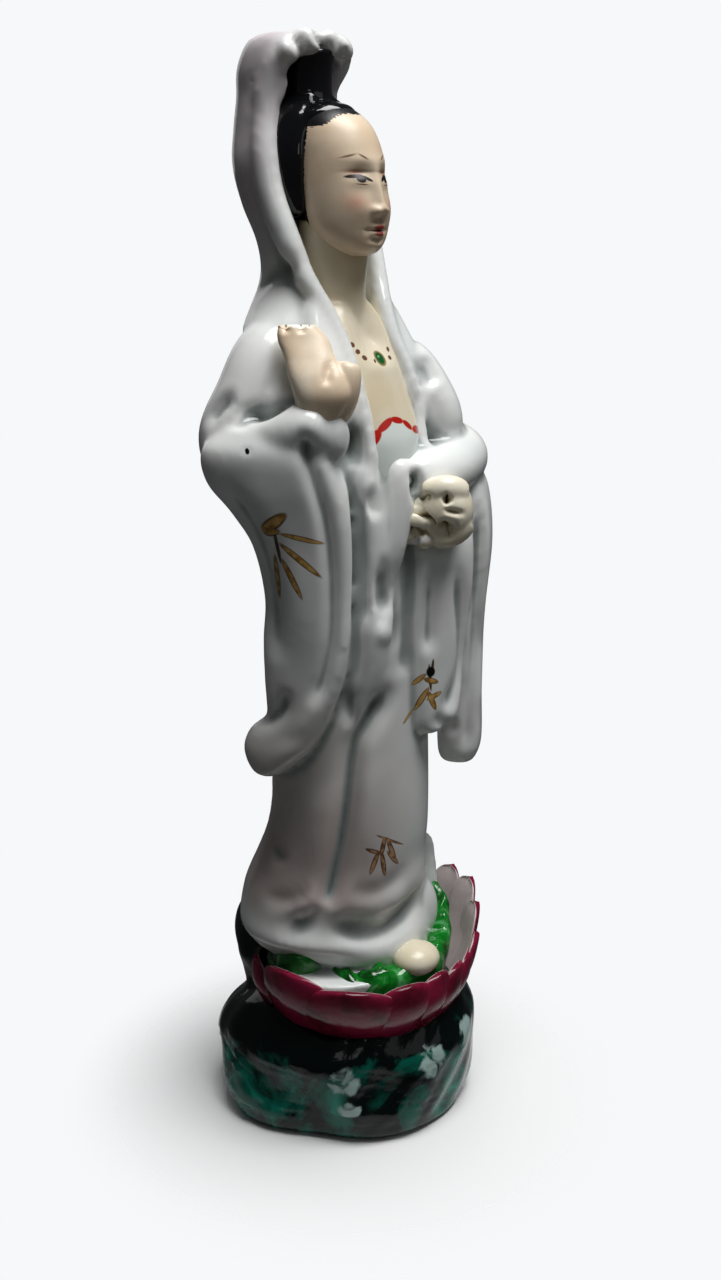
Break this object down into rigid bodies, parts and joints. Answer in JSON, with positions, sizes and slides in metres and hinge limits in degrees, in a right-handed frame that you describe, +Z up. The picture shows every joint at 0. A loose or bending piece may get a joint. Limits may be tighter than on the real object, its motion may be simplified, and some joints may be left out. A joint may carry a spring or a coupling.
{
  "type": "guanyin figure",
  "caption": "Standing hooded Guanyin in glazed porcelain, one hand raised, on a lotus over a rock mound; a shelf ornament fired as one piece.",
  "frame": {"origin": "centre of the flat underside of the rock mound", "axes": "+Z up along the figure's height, the figure faces -Y, its left hand is on the +X side"},
  "size_m": [0.0871, 0.0758, 0.302],
  "materials": {
    "white_glaze": "glossy white porcelain glaze, cool grey where it pools in the folds",
    "biscuit_skin": "satin biscuit porcelain with a warm flesh tint, on face, neck, chest, hands and foot",
    "black_glaze": "glossy black glaze on the hair",
    "green_glaze": "glossy leaf-green glaze on the ring of leaf under the hem",
    "rose_glaze": "glossy crimson glaze on the lotus petals, white inside",
    "teal_glaze": "glossy dark teal-green glaze on the rock mound"
  },
  "bodies": {
    "root": {"guanyin_figure": "white_glaze"}
  },
  "joints": []
}
